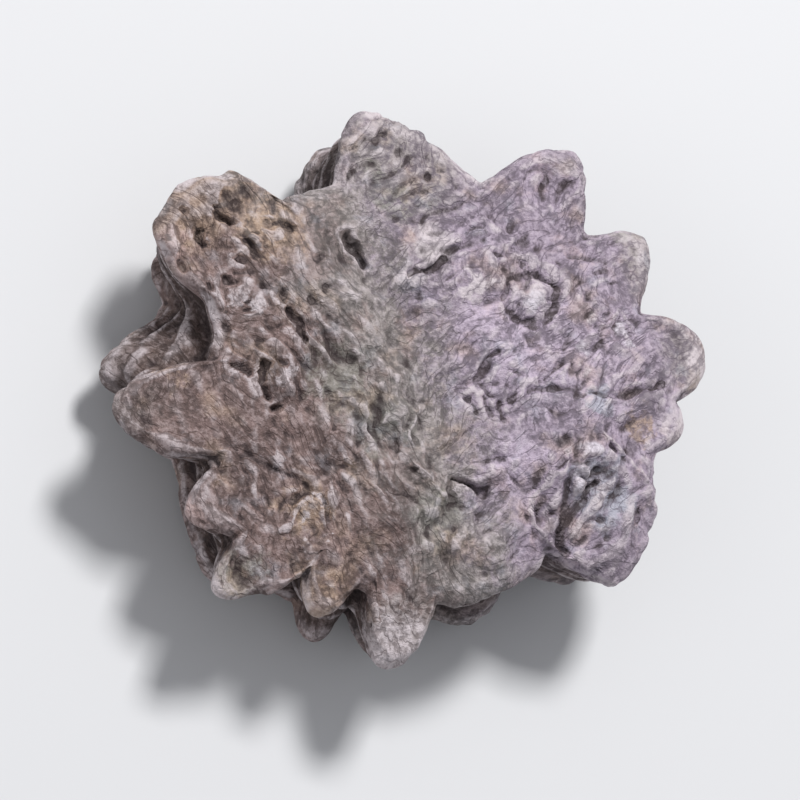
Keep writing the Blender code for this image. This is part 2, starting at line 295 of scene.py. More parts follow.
# Coloured patches of the coat: place in mm and radius in mm
GREY_SPOTS = (
    ((-0.8, 11.0, 6.2), 3.6), ((12.0, 7.6, 5.6), 2.4), ((14.4, 3.0, 5.3), 2.8), ((-14.2, -1.6, 5.4), 1.8),
    ((-10.2, -9.8, 5.5), 1.8), ((-1.0, -12.0, 6.0), 2.4), ((-13.4, 1.0, 2.0), 2.2),
)
TAN_SPOTS = (
    ((-11.6, 8.2, 5.3), 2.8), ((-9.8, 9.8, 5.8), 2.2), ((-5.0, -10.0, 5.4), 1.8), ((-5.9, -6.3, 6.9), 1.3),
    ((-7.6, 7.0, 6.6), 1.8), ((-12.2, 0.0, 5.6), 0.9), ((11.0, -0.6, 6.4), 0.9),
)
OLIVE_SPOTS = (
    ((-2.6, -1.8, 7.5), 1.7), ((-4.6, 0.2, 7.1), 1.8), ((-1.4, 9.4, 6.5), 1.4), ((10.8, 8.8, 5.6), 1.0),
    ((0.6, -6.0, 6.9), 1.5), ((-8.8, -9.3, 5.7), 1.2), ((-9.2, 9.8, 5.8), 0.6),
)
PINK_SPOTS = (((-12.5, 5.9, 5.4), 1.1), ((-11.4, -7.2, 5.6), 1.4), ((13.0, -1.0, 5.5), 1.2))
BROWN_SPOTS = (((-5.4, 6.2, 6.8), 2.4), ((-12.8, -1.0, 5.9), 2.2), ((-8.6, -8.8, 6.0), 1.6))
LILAC_SPOTS = (((7.4, 2.0, 7.2), 3.4), ((3.2, 2.6, 7.4), 2.4), ((4.4, -3.6, 7.2), 2.2))
BLUE_SPOTS = (((8.6, -3.8, 6.8), 1.7), ((9.4, -4.8, 6.6), 1.5), ((8.9, 0.2, 7.1), 0.9))
PALE_SPOTS = (
    ((0.6, 7.1, 7.1), 1.2), ((-7.0, 0.0, 7.4), 0.6), ((-1.2, -12.3, 5.6), 1.9), ((13.4, -0.6, 5.7), 1.6),
    ((13.2, 7.6, 5.5), 1.3), ((14.8, 3.2, 5.3), 1.2), ((-10.2, -10.4, 5.5), 1.2), ((-1.0, 5.2, 7.2), 0.8),
    ((-5.7, -6.1, 7.1), 0.5), ((5.4, 4.7, 7.7), 1.2), ((-8.9, 3.2, 6.7), 0.6),
    ((2.3, 5.0, 7.5), 0.9), ((8.4, 4.1, 7.1), 0.5), ((11.8, -1.7, 5.6), 0.8),
)
# Painted highlights with a sharper edge: on the knob, the beads of the broad tooth and streaks by them
HIGHLIGHT_SPOTS = (
    ((5.15, 4.4, 7.7), 0.55), ((8.2, -2.2, 7.5), 0.52), ((7.7, -3.4, 7.4), 0.44), ((7.7, -4.1, 7.2), 0.36),
    ((10.0, 3.7, 6.9), 0.34), ((10.3, 3.0, 7.0), 0.32), ((11.2, -2.8, 5.8), 0.40), ((7.9, 2.6, 7.2), 0.36),
)
# How much of each patch's colour shows, and of the belt's brown and painted shade
GREY_SHARE, BROWN_SHARE, LILAC_SHARE, BLUE_SHARE = 0.85, 0.60, 0.70, 0.70
TAN_SHARE, OLIVE_SHARE, PINK_SHARE, BELT_BROWN_AND_SHADE_SHARE = 0.75, 0.70, 0.70, 0.85

# Scales of the coat's noises, per mm
CRACK_SCALE, FIBRE_SCALE, FINE_SCALE, COARSE_SCALE = 1.5, 2.8, 3.6, 0.9
SPECKLE_SCALE, STAIN_SCALE, WORN_EDGE_SCALE = 0.60, 0.45, 0.40
# The grain is longer along its way than across it
GRAIN_STRETCH = (2.3, 1.0, 1.0)
# Shares of the cracks, the fibres and the fine grain in the grain's height
CRACK_SHARE, FIBRE_SHARE, FINE_SHARE = 0.13, 0.30, 0.72
# Shares of the coarse grain and of the grain's height in the mottle
COARSE_SHARE, HEIGHT_SHARE = 0.38, 0.62
# Light in the darkest and the lightest places of the mottle
MOTTLE_DARK, MOTTLE_LIGHT = 0.46, 1.29
# How much of the speckles', the stains' and the painted highlights' colours shows at most, the last on the
# tops of the grain
SPECKLE_SHARE, STAIN_SHARE, HIGHLIGHT_FLECK_SHARE = 0.35, 0.40, 0.16
# A noise's colour strays from its middle by about one part in this many
NOISE_STRAY = 7.0

# Height of the weak-grain places in mm, and how much of the grain they keep
WEAK_GRAIN_HEIGHT, WEAK_GRAIN_SHARE = 6.0, 0.5
COAT_SPECULAR = 0.45
FLOOR_ROUGHNESS = 0.7

# Camera: the way from the seed to it, what is to the right in the picture, and its distance
CAMERA_WAY = Vector((-0.375, -0.225, 0.8993)).normalized()
PICTURE_RIGHT = Vector((0.9230, 0.0, 0.3849)).normalized()
PICTURE_UP = CAMERA_WAY.cross(PICTURE_RIGHT)
CAMERA_DISTANCE = 0.36
CAMERA_CLIP_START = 0.01
# The seed's long side, as a share of the picture's width
PICTURE_SHARE = 0.80
SENSOR_MM = 36.0

# Square lights: the way to them, their distance and width in metres, and their power in watts
KEY_WAY = CAMERA_WAY * 0.52 + PICTURE_UP * 0.66 + PICTURE_RIGHT * 0.44
KEY_DISTANCE, KEY_WIDTH, KEY_POWER = 0.45, 0.10, 2.3
FILL_WAY = CAMERA_WAY * 0.7 - PICTURE_RIGHT * 0.8
FILL_DISTANCE, FILL_WIDTH, FILL_POWER = 0.45, 0.35, 0.45
SKY_COLOUR, SKY_STRENGTH = (0.93, 0.95, 1.0, 1.0), 0.42


class GacSeedSizes(bpy.types.PropertyGroup):
    """Depths of the seed's finer relief, and the floor's width."""

    wrinkle: FloatProperty(
        name="Wrinkles", description="Height of the soft wrinkles on both faces",
        default=0.16 * MM, unit="LENGTH", precision=5,
    )
    furrow: FloatProperty(
        name="Furrows", description="Depth of the long furrows between the wrinkles",
        default=0.12 * MM, unit="LENGTH", precision=5,
    )
    crumple: FloatProperty(
        name="Crumple", description="Height of the small crumpling of the coat",
        default=0.13 * MM, unit="LENGTH", precision=5,
    )
    strata: FloatProperty(
        name="Belt ridges", description="Height of the ridges that run along the belt of the rim",
        default=0.12 * MM, unit="LENGTH", precision=5,
    )
    grain: FloatProperty(
        name="Grain", description="Depth of the leathery grain in the coat's bump",
        default=0.18 * MM, unit="LENGTH", precision=5,
    )
    floor_width: FloatProperty(
        name="Floor", description="Width of the floor that the seed lies on",
        default=3.0, unit="LENGTH",
    )


class GacSeedColours(bpy.types.PropertyGroup):
    """Colours of the seed's coat."""

    brown: FloatVectorProperty(
        name="Brown", description="Coat on the narrow notched side", subtype="COLOR", size=4,
        default=(0.172, 0.113, 0.104, 1.0),
    )
    grey: FloatVectorProperty(
        name="Grey", description="Coat in the middle and on most teeth", subtype="COLOR", size=4,
        default=(0.248, 0.216, 0.208, 1.0),
    )
    mauve: FloatVectorProperty(
        name="Mauve", description="Bloom on the long toothed side", subtype="COLOR", size=4,
        default=(0.300, 0.240, 0.304, 1.0),
    )
    lilac: FloatVectorProperty(
        name="Lilac", description="Palest bloom, in the middle of the long toothed side", subtype="COLOR",
        size=4, default=(0.430, 0.350, 0.440, 1.0),
    )
    blue_grey: FloatVectorProperty(
        name="Blue grey", description="Bloom in the hollow of the broad tooth", subtype="COLOR", size=4,
        default=(0.290, 0.310, 0.360, 1.0),
    )
    tan: FloatVectorProperty(
        name="Tan", description="Worn tan patches", subtype="COLOR", size=4,
        default=(0.350, 0.240, 0.165, 1.0),
    )
    olive: FloatVectorProperty(
        name="Olive", description="Dark greenish patches", subtype="COLOR", size=4,
        default=(0.165, 0.160, 0.135, 1.0),
    )
    pink: FloatVectorProperty(
        name="Pink", description="Small pinkish patches", subtype="COLOR", size=4,
        default=(0.400, 0.270, 0.250, 1.0),
    )
    # Darker brown of the belt: partly its own colour and partly painted shade
    belt_brown_and_shade: FloatVectorProperty(
        name="Belt brown", description="Belt between the toothed edges", subtype="COLOR", size=4,
        default=(0.088, 0.056, 0.050, 1.0),
    )
    # Pale of the rubbed edges and pale patches, also used for the painted highlights on raised places and
    # on the tops of the grain
    pale: FloatVectorProperty(
        name="Pale", description="Rubbed edges and raised lines", subtype="COLOR", size=4,
        default=(0.560, 0.495, 0.515, 1.0),
    )
    # Painted highlight on the knob, the beads of the broad tooth and streaks by them
    bright: FloatVectorProperty(
        name="Bright", description="The knob and the beads of the broad tooth", subtype="COLOR", size=4,
        default=(0.640, 0.590, 0.650, 1.0),
    )
    # Painted shade: this colour darkens the pits, slits, creases, hollows and the bottoms of the notches
    dark: FloatVectorProperty(
        name="Dark", description="Pits, slits and the bottoms of the notches", subtype="COLOR",
        size=4, default=(0.026, 0.015, 0.016, 1.0),
    )
    floor: FloatVectorProperty(
        name="Floor", description="The plain floor", subtype="COLOR", size=4,
        default=(0.60, 0.60, 0.61, 1.0),
    )


def ease(x):
    """Smooth step from 0 at x = 0 to 1 at x = 1."""
    x = min(max(x, 0.0), 1.0)
    return x * x * (3.0 - 2.0 * x)


def body_radius(angle):
    """Radius of the body between its teeth: a smooth closed curve through BODY_OUTLINE."""
    degrees = math.degrees(angle) % 360.0
    count = len(BODY_OUTLINE)
    after = next((i for i, (at, _) in enumerate(BODY_OUTLINE) if at > degrees), 0)
    near = [BODY_OUTLINE[(after + step) % count] for step in (-2, -1, 0, 1)]
    turns = [(at - near[1][0] + 180.0) % 360.0 - 180.0 for at, _ in near]
    radii = [radius * MM for _, radius in near]
    slope_in = (radii[2] - radii[0]) / (turns[2] - turns[0])
    slope_out = (radii[3] - radii[1]) / (turns[3] - turns[1])
    span = turns[2]
    t = (degrees - near[1][0]) % 360.0 / span
    return (
        radii[1] * (1.0 + t * t * (2.0 * t - 3.0))
        + radii[2] * t * t * (3.0 - 2.0 * t)
        + span * (slope_in * t * (1.0 - t) ** 2 - slope_out * t * t * (1.0 - t))
    )


def tooth_reach(teeth, angle, body):
    """How far the teeth of one edge stand out of the body at this angle, blended where they meet."""
    degrees = math.degrees(angle)
    total = 0.0
    for tip, tip_radius, before, blunt_before, after, blunt_after in teeth:
        turn = (degrees - tip + 180.0) % 360.0 - 180.0
        away = abs(turn) / (after if turn > 0.0 else before)
        if away < 1.0:
            bluntness = blunt_after if turn > 0.0 else blunt_before
            share = (1.0 - away**bluntness) ** FLANK_HOLLOWNESS
            total += ((tip_radius * MM - body) * share) ** TOOTH_BLEND
    return total ** (1.0 / TOOTH_BLEND)


def net_lines(place, side):
    """The raised net: 1 on its lines and 0 inside its cells, faint in some patches."""
    start = RELIEF_SEEDS[side]
    wander = noise.noise_vector(place / NET_WARP_SIZE + start) * NET_WARP
    distances, _ = noise.voronoi((place + wander) / NET_CELL + start)
    line = 1.0 - ease((distances[1] - distances[0]) / NET_LINE)
    patch = NET_PATCH_MEAN + NET_PATCH_SPREAD * noise.noise(place / NET_PATCH_SIZE - start)
    return line * min(max(patch, 0.0), 1.0)


def from_line(flat, start, end):
    """Distance of a flat place from the line between two places given in mm."""
    start = Vector(start) * MM
    along = Vector(end) * MM - start
    share = min(max((flat - start).dot(along) / along.length_squared, 0.0), 1.0)
    return (flat - start - along * share).length


def hollows(flat):
    """Depth of the hollows at this place on the upper face."""
    return sum(
        deepest * MM * (1.0 - ease(from_line(flat, start, end) / (half_width * MM)))
        for start, end, deepest, half_width in HOLLOWS
    )


def fold(place):
    """The raised ring and the dish inside it, at the base of the broad tooth."""
    wander = noise.noise_vector(place / FOLD_WARP_SIZE).to_2d() * FOLD_WARP
    away = (place.to_2d() + wander - FOLD_CENTRE).length
    ring = FOLD_RISE * (1.0 - ease(abs(away - FOLD_RADIUS) / FOLD_LINE))
    return ring - FOLD_DISH * (1.0 - ease(away / FOLD_RADIUS))


def relief(place, ring, inset, side):
    """Height of the relief that the part has too, above the face's smooth form."""
    swell = noise.noise(place / SWELL_SIZE + RELIEF_SEEDS[side])
    height = SWELL_HEIGHT * swell + NET_HEIGHT * net_lines(place, side)
    if side > 0:
        height += fold(place) - hollows(place.to_2d())
    else:
        height *= ease((ring - RESTING_RINGS[0]) / (RESTING_RINGS[1] - RESTING_RINGS[0]))
    return height * (1.0 - CALM_SHARE * (1.0 - ease(inset / CALM_WIDTH)))


def marks(place):
    """Slits, raised folds, pits and knobs of the upper face at this place."""
    flat = (place + noise.noise_vector(place / MARK_WARP_SIZE) * MARK_WARP).to_2d()
    found = [0.0]
    for start, end, high, half_width in MARKS:
        found.append(high * (1.0 - ease(from_line(flat, start, end) / (half_width * MM))))
    for centre, high, radius in SPOTS:
        found.append(high * (1.0 - ease((flat - Vector(centre) * MM).length / (radius * MM))))
    return (min(found) + max(found)) * MM


def strewn_pits(place, side):
    """Depth of the small pits, which lie close together in one part of the upper face."""
    wander = noise.noise_vector(place / MARK_WARP_SIZE) * MARK_WARP
    distances, points = noise.voronoi((place + wander) / SCATTER_SPACING + RELIEF_SEEDS[side] * 3.0)
    crowd = 0.0
    if side > 0:
        crowd = 1.0 - ease((place.to_2d() - PIT_CLUSTER).length / PIT_CLUSTER_RADIUS)
    chance = noise.noise(points[0] * 3.7) + SCATTER_MEAN + SCATTER_CROWD * crowd
    radius = SCATTER_RADIUS + SCATTER_RADIUS_SPREAD * min(max(chance, 0.0), 1.0)
    return SCATTER_DEPTH * ease(chance * 4.0 - 0.6) * (1.0 - ease(distances[0] / radius))


def smoothness(place):
    """1 on the smoother teeth, and 0 elsewhere."""
    flat = place.to_2d()
    near = [(flat - Vector(at) * MM).length / (radius * MM) for at, radius in SMOOTH_PLACES]
    return 1.0 - ease(min(near) * 2.0 - 1.0)


def wrinkles(place, sizes):
    """Height of the coat's soft swells, its long furrows and its crumpling."""
    bend = noise.noise_vector(place / WIDE_BEND_SIZE) * WIDE_BEND
    bend += noise.noise_vector(place / SMALL_BEND_SIZE) * SMALL_BEND
    soft = noise.fractal(place / WRINKLE_SIZE, 0.9, 2.1, 2)
    heights = []
    for way in (LEFT_FLOW, RIGHT_FLOW):
        along = math.cos(way) * place.x + math.sin(way) * place.y
        across = math.cos(way) * place.y - math.sin(way) * place.x
        streak = Vector((FLOW_SQUEEZE * along, across, place.z)) + bend
        furrow = 1.0 - ease(abs(noise.noise(streak / FURROW_SIZE)) / FURROW_WIDTH)
        crumple = noise.noise(streak / CRUMPLE_SIZES[0]) + 0.5 * noise.noise(streak / CRUMPLE_SIZES[1])
        heights.append(sizes.crumple * crumple - sizes.furrow * furrow)
    past = (MIDDLE_SLOPE[0] * place.x + MIDDLE_SLOPE[1] * place.y) / MM + MIDDLE_SHIFT
    share = ease(past / 3.0 + 0.5)
    patch = WRINKLE_PATCH_MEAN + noise.noise(place / WRINKLE_PATCH_SIZE)
    patch = min(max(patch, WRINKLE_PATCH_LEAST), WRINKLE_PATCH_MOST)
    fine = (heights[0] * (1.0 - share) + heights[1] * share) * patch
    return sizes.wrinkle * soft + fine * (1.0 - 0.6 * smoothness(place))


def face_point(angle, ring, side, marked=False):
    """A point on the upper (side 1) or lower (side -1) face, with or without its pits and slits."""
    body = body_radius(angle)
    reach = tooth_reach(UPPER_TEETH if side > 0 else LOWER_TEETH, angle, body)
    radius = ring * body + reach * ring**TOOTH_RING_POWER
    inset = body + reach - radius
    place = Vector((radius * math.cos(angle), radius * math.sin(angle), 0.0))
    inside = min(radius / body, 1.0)
    if side > 0:
        dome = UPPER_DOME * (1.0 - inside**UPPER_DOME_POWER)
    else:
        dome = LOWER_DOME * (1.0 - inside**LOWER_DOME_POWER)
    droop = TOOTH_DROOP * max(radius - body, 0.0)
    lip = LIP_RISE * (1.0 - ease(abs(inset / LIP_HALF_WIDTH - 1.0)))
    rounding = EDGE_ROUND * (1.0 - min(inset / EDGE_ROUND_WIDTH, 1.0)) ** 2
    height = RIM_HALF_HEIGHT + dome - droop + lip - rounding + relief(place, ring, inset, side)
    if marked:
        fine = -strewn_pits(place, side) * (1.0 - smoothness(place))
        fine += marks(place) if side > 0 else 0.0
        height += fine * ease(inset / MARK_FADE)
    place.z = SEAM_HEIGHT + side * height
    return place


def belt_point(angle, level, strata):
    """A point on the belt between the edges, from level -1 at the lower edge to 1 at the upper."""
    body = body_radius(angle)
    rise = TOOTH_FULL - TOOTH_ROOT
    upper = ease((level - TOOTH_ROOT) / rise) * tooth_reach(UPPER_TEETH, angle, body)
    lower = ease((-level - TOOTH_ROOT) / rise) * tooth_reach(LOWER_TEETH, angle, body)
    groove = SEAM_GROOVE * (1.0 - level**2) ** SEAM_GROOVE_POWER
    ridge = SEAM_RIDGE * (1.0 - ease(abs(level) / SEAM_RIDGE_WIDTH))
    from_edge = min((1.0 - abs(level)) / EDGE_BULGE_SHARE, 1.0)
    bulge = EDGE_BULGE * 4.0 * from_edge * (1.0 - from_edge)
    waver = noise.noise(Vector((math.cos(angle), math.sin(angle), 0.3 * level)) * 4.0)
    stripes = strata * (math.cos((level * STRATA_COUNT + STRATA_WAVER * waver) * math.pi) - 1.0)
    stripes *= ease((1.0 - abs(level)) / STRATA_FADE)
    radius = body + upper + lower - groove + ridge + bulge + stripes
    top = face_point(angle, 1.0, 1).z
    bottom = face_point(angle, 1.0, -1).z
    z = bottom + (top - bottom) * (1.0 + level) / 2.0
    return Vector((radius * math.cos(angle), radius * math.sin(angle), z))


def angle_on_square(x, y):
    """Turns a place on a square into an angle, evenly round the square's outline."""
    if abs(x) >= abs(y):
        turn = math.pi / 4.0 * y / x if x else 0.0
        return turn if x > 0.0 else turn + math.pi
    turn = math.pi / 2.0 - math.pi / 4.0 * x / y
    return turn if y > 0.0 else turn + math.pi


def seed_shape(sizes):
    """The seed as a bmesh: a cube cut into cells, wrapped round the seed's form and wrinkled."""
    block = bmesh.new()
    bmesh.ops.create_cube(block, size=2.0)
    upright = [e for e in block.edges if abs(e.verts[0].co.z - e.verts[1].co.z) > 1.0]
    bmesh.ops.subdivide_edges(block, edges=upright, cuts=SEED_BELT_CELLS - 1, use_grid_fill=True)
    level = [e for e in block.edges if abs(e.verts[0].co.z - e.verts[1].co.z) < 0.01]
    bmesh.ops.subdivide_edges(block, edges=level, cuts=SEED_CELLS - 1, use_grid_fill=True)
    wall = block.verts.layers.float.new("wall")
    rim = block.verts.layers.float.new("rim")
    calm = {}
    for vertex in block.verts:
        x, y, z = vertex.co
        angle = angle_on_square(x, y)
        ring = max(abs(x), abs(y))
        if abs(z) > 1.0 - 1e-4:
            vertex.co = face_point(angle, ring, 1 if z > 0.0 else -1, marked=True)
            edge = face_point(angle, 1.0, 1 if z > 0.0 else -1)
            vertex[rim] = 1.0 - ease((edge - vertex.co).length / RIM_FADE)
        else:
            vertex.co = belt_point(angle, z, sizes.strata)
            vertex[wall] = ease((1.0 - abs(z)) / BELT_FADE)
            vertex[rim] = 1.0 - ease((1.0 - abs(z)) / BELT_RIM_FADE)
            calm[vertex] = 1.0 - 0.5 * vertex[wall]
        if z < -1.0 + 1e-4:
            calm[vertex] = ease((ring - RESTING_RINGS[0]) / (RESTING_RINGS[1] - RESTING_RINGS[0]))
    block.normal_update()
    for vertex, way in [(v, v.normal.copy()) for v in block.verts]:
        vertex.co += way * wrinkles(vertex.co, sizes) * calm.get(vertex, 1.0)
        vertex.co.z = max(vertex.co.z, 0.0)
    bmesh.ops.triangulate(block, faces=block.faces, quad_method="SHORT_EDGE")
    bmesh.ops.recalc_face_normals(block, faces=block.faces)
    return block


def add_heights(mesh, name, rounds, unit):
    """Stores how far each vertex stands above its smoothed surroundings, in units, as an attribute."""
    count = len(mesh.vertices)
    places = np.empty(count * 3)
    mesh.vertices.foreach_get("co", places)
    places = places.reshape(-1, 3)
    normals = np.empty(count * 3)
    mesh.vertices.foreach_get("normal", normals)
    ends = np.empty(len(mesh.edges) * 2, dtype=np.int64)
    mesh.edges.foreach_get("vertices", ends)
    a, b = ends.reshape(-1, 2).T
    neighbours = np.bincount(a, minlength=count) + np.bincount(b, minlength=count)
    smooth = places.copy()
    for _ in range(rounds):
        for axis in range(3):
            column = smooth[:, axis].copy()
            total = np.bincount(a, column[b], count) + np.bincount(b, column[a], count)
            smooth[:, axis] = total / neighbours
    heights = ((places - smooth) * normals.reshape(-1, 3)).sum(axis=1) / unit
    mesh.attributes.new(name, "FLOAT", "POINT").data.foreach_set("value", heights.astype(np.float32))


class Nodes:
    """Short ways to place and join shader nodes in one tree."""

    def __init__(self, tree):
        self.tree = tree

    def add(self, kind, inputs=None, **settings):
        node = self.tree.nodes.new(kind)
        for key, value in settings.items():
            setattr(node, key, value)
        for key, value in (inputs or {}).items():
            if isinstance(value, bpy.types.NodeSocket):
                self.tree.links.new(value, node.inputs[key])
            else:
                node.inputs[key].default_value = value
        return node

    def noise(self, vector, scale, detail=3.0, roughness=0.55):
        sockets = {"Vector": vector, "Scale": scale, "Detail": detail, "Roughness": roughness}
        return self.add("ShaderNodeTexNoise", sockets).outputs["Fac"]

    def math(self, operation, first, second=0.0):
        return self.add("ShaderNodeMath", {0: first, 1: second}, operation=operation).outputs[0]

    def range(self, value, low, high, to_low=0.0, to_high=1.0):
        sockets = {"Value": value, "From Min": low, "From Max": high, "To Min": to_low, "To Max": to_high}
        return self.add("ShaderNodeMapRange", sockets, interpolation_type="SMOOTHSTEP").outputs["Result"]

    def mix(self, factor, first, second, blend="MIX"):
        sockets = {0: factor, 6: first, 7: second}
        node = self.add("ShaderNodeMix", sockets, data_type="RGBA", blend_type=blend, clamp_factor=True)
        return node.outputs[2]

    def attribute(self, name):
        return self.add("ShaderNodeAttribute", attribute_name=name).outputs["Fac"]


def past_middle(nodes, place):
    """How far in mm a place lies to the right of the slanting line through the seed's middle."""
    slope = (*MIDDLE_SLOPE, 0.0)
    dot = nodes.add("ShaderNodeVectorMath", {0: place, 1: slope}, operation="DOT_PRODUCT")
    return nodes.math("ADD", dot.outputs["Value"], MIDDLE_SHIFT)


def shifted(nodes, place, scale, detail, reach):
    """The place moved about by a noise of the given scale, by about the given reach in mm."""
    sockets = {"Vector": place, "Scale": scale, "Detail": detail, "Roughness": 0.6}
    wild = nodes.add("ShaderNodeTexNoise", sockets).outputs["Color"]
    sockets = {0: wild, 1: (0.5, 0.5, 0.5)}
    centred = nodes.add("ShaderNodeVectorMath", sockets, operation="SUBTRACT").outputs[0]
    sockets = {0: centred, "Scale": reach * NOISE_STRAY}
    moved = nodes.add("ShaderNodeVectorMath", sockets, operation="SCALE").outputs[0]
    return nodes.add("ShaderNodeVectorMath", {0: place, 1: moved}).outputs[0]


def grain_group():
    """Leathery grain: a height for the bump and a light and dark mottle for the colour."""
    group = bpy.data.node_groups.new("leathery_grain", "ShaderNodeTree")
    group.interface.new_socket("Place", in_out="INPUT", socket_type="NodeSocketVector")
    group.interface.new_socket("Height", in_out="OUTPUT", socket_type="NodeSocketFloat")
    group.interface.new_socket("Mottle", in_out="OUTPUT", socket_type="NodeSocketFloat")
    nodes = Nodes(group)
    place = nodes.add("NodeGroupInput").outputs["Place"]
    bent = shifted(nodes, shifted(nodes, place, 0.35, 0.0, 0.35), 1.3, 1.0, 0.04)
    share = nodes.range(past_middle(nodes, place), -1.5, 1.5)
    layers = []
    for way in (LEFT_FLOW, RIGHT_FLOW):
        sockets = {"Vector": bent, "Rotation": (0.0, 0.0, way), "Scale": GRAIN_STRETCH}
        streak = nodes.add("ShaderNodeMapping", sockets, vector_type="TEXTURE").outputs["Vector"]
        crack = nodes.math("SUBTRACT", nodes.noise(streak, CRACK_SCALE, 2.0, 0.5), 0.5)
        crack = nodes.range(nodes.math("ABSOLUTE", crack), 0.0, 0.04)
        fibre = nodes.noise(streak, FIBRE_SCALE, 2.0, 0.55)
        coarse = nodes.range(nodes.noise(streak, COARSE_SCALE, 3.0, 0.62), 0.30, 0.70)
        layers.append((crack, fibre, coarse))
    crack, fibre, coarse = [
        nodes.add("ShaderNodeMix", {0: share, 2: left, 3: right}).outputs[0] for left, right in zip(*layers)
    ]
    crack = nodes.math("MULTIPLY", crack, CRACK_SHARE)
    fibre = nodes.math("MULTIPLY", fibre, FIBRE_SHARE)
    fine = nodes.math("MULTIPLY", nodes.noise(place, FINE_SCALE, 4.0, 0.72), FINE_SHARE)
    height = nodes.math("ADD", nodes.math("ADD", crack, fibre), fine)
    light = nodes.range(height, 0.40, 0.89, 0.0, HEIGHT_SHARE)
    mottle = nodes.math("ADD", nodes.math("MULTIPLY", coarse, COARSE_SHARE), light)
    nodes.add("NodeGroupOutput", {"Height": height, "Mottle": mottle})
    return group


def spots_mask(nodes, place, spots):
    """A soft mask that is 1 in the middle of each spot, given as place and radius in mm."""
    mask = None
    for centre, radius in spots:
        sockets = {0: place, 1: centre}
        away = nodes.add("ShaderNodeVectorMath", sockets, operation="DISTANCE").outputs["Value"]
        spot = nodes.range(away, 0.45 * radius, 1.2 * radius, 1.0, 0.0)
        mask = spot if mask is None else nodes.math("MAXIMUM", mask, spot)
    return mask


